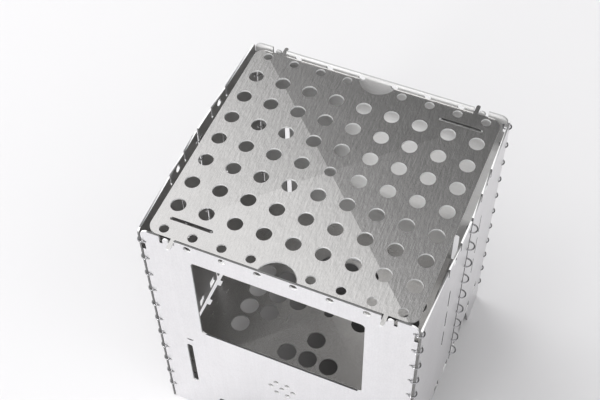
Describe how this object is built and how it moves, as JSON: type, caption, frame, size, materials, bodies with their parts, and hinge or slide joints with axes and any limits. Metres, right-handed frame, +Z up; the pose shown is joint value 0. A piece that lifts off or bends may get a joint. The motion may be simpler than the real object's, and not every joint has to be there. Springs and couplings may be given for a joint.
{
  "type": "folding wood stove",
  "caption": "Folding box stove of thin stainless sheet: ring-laced walls that fold flat, feed window, perforated cross-broken cooking plate and raised perforated grate.",
  "frame": {"origin": "on the ground plane, in the middle of the set-up box", "axes": "+Z up, -Y towards the front panel with the feed window, +X to the right seen from the front"},
  "size_m": [0.2028, 0.1864, 0.225],
  "materials": {
    "wall_sheet": "fine vertical brushed grain, satin",
    "plate_sheet": "brushed grain along the depth, satin",
    "grate_sheet": "brushed grain, satin",
    "ring_wire": "bright drawn wire"
  },
  "bodies": {
    "back": {"back_panel": "wall_sheet", "back_left_rings_upper": "ring_wire", "back_left_rings_lower": "ring_wire", "back_right_rings_upper": "ring_wire", "back_right_rings_lower": "ring_wire"},
    "right_rear": {"right_rear_panel": "wall_sheet", "right_middle_rings_upper": "ring_wire", "right_middle_rings_lower": "ring_wire"},
    "right_front": {"right_front_panel": "wall_sheet"},
    "front": {"front_panel": "wall_sheet", "front_left_rings_upper": "ring_wire", "front_left_rings_lower": "ring_wire", "front_right_rings_upper": "ring_wire", "front_right_rings_lower": "ring_wire"},
    "left_rear": {"left_rear_panel": "wall_sheet", "left_middle_rings_upper": "ring_wire", "left_middle_rings_lower": "ring_wire"},
    "left_front": {"left_front_panel": "wall_sheet"},
    "plate": {"cooking_plate": "plate_sheet"},
    "grate": {"fire_grate": "grate_sheet"}
  },
  "joints": [
    {"name": "wall_fold", "type": "hinge", "parent": "back", "child": "right_rear", "pos_m": [0.0933, 0.0867, 0.112], "axis": [0, 0, -1], "range_deg": [0, 88]},
    {"name": "right_middle_fold", "type": "hinge", "parent": "right_rear", "child": "right_front", "pos_m": [0.09762, 0, 0.112], "axis": [0, 0, 1], "range_deg": [0, 176]},
    {"name": "front_right_fold", "type": "hinge", "parent": "right_front", "child": "front", "pos_m": [0.0933, -0.0867, 0.112], "axis": [0, 0, -1], "range_deg": [0, 88]},
    {"name": "left_rear_fold", "type": "hinge", "parent": "back", "child": "left_rear", "pos_m": [-0.0933, 0.0867, 0.112], "axis": [0, 0, 1], "range_deg": [0, 88]},
    {"name": "left_middle_fold", "type": "hinge", "parent": "left_rear", "child": "left_front", "pos_m": [-0.09762, 0, 0.112], "axis": [0, 0, -1], "range_deg": [0, 176]},
    {"name": "plate_lift", "type": "slide", "parent": "back", "child": "plate", "axis": [0, 0, 1], "range_m": [0, 0.2304]},
    {"name": "grate_drop", "type": "slide", "parent": "back", "child": "grate", "axis": [0, 0, -1], "range_m": [0, 0.553]}
  ],
  "couplings": [
    {"joint": "right_middle_fold", "follows": "wall_fold", "ratio": 2},
    {"joint": "front_right_fold", "follows": "wall_fold", "ratio": 1},
    {"joint": "left_rear_fold", "follows": "wall_fold", "ratio": 1},
    {"joint": "left_middle_fold", "follows": "wall_fold", "ratio": 2},
    {"joint": "plate_lift", "follows": "wall_fold", "m_per_rad": 0.15},
    {"joint": "grate_drop", "follows": "wall_fold", "m_per_rad": 0.36}
  ]
}
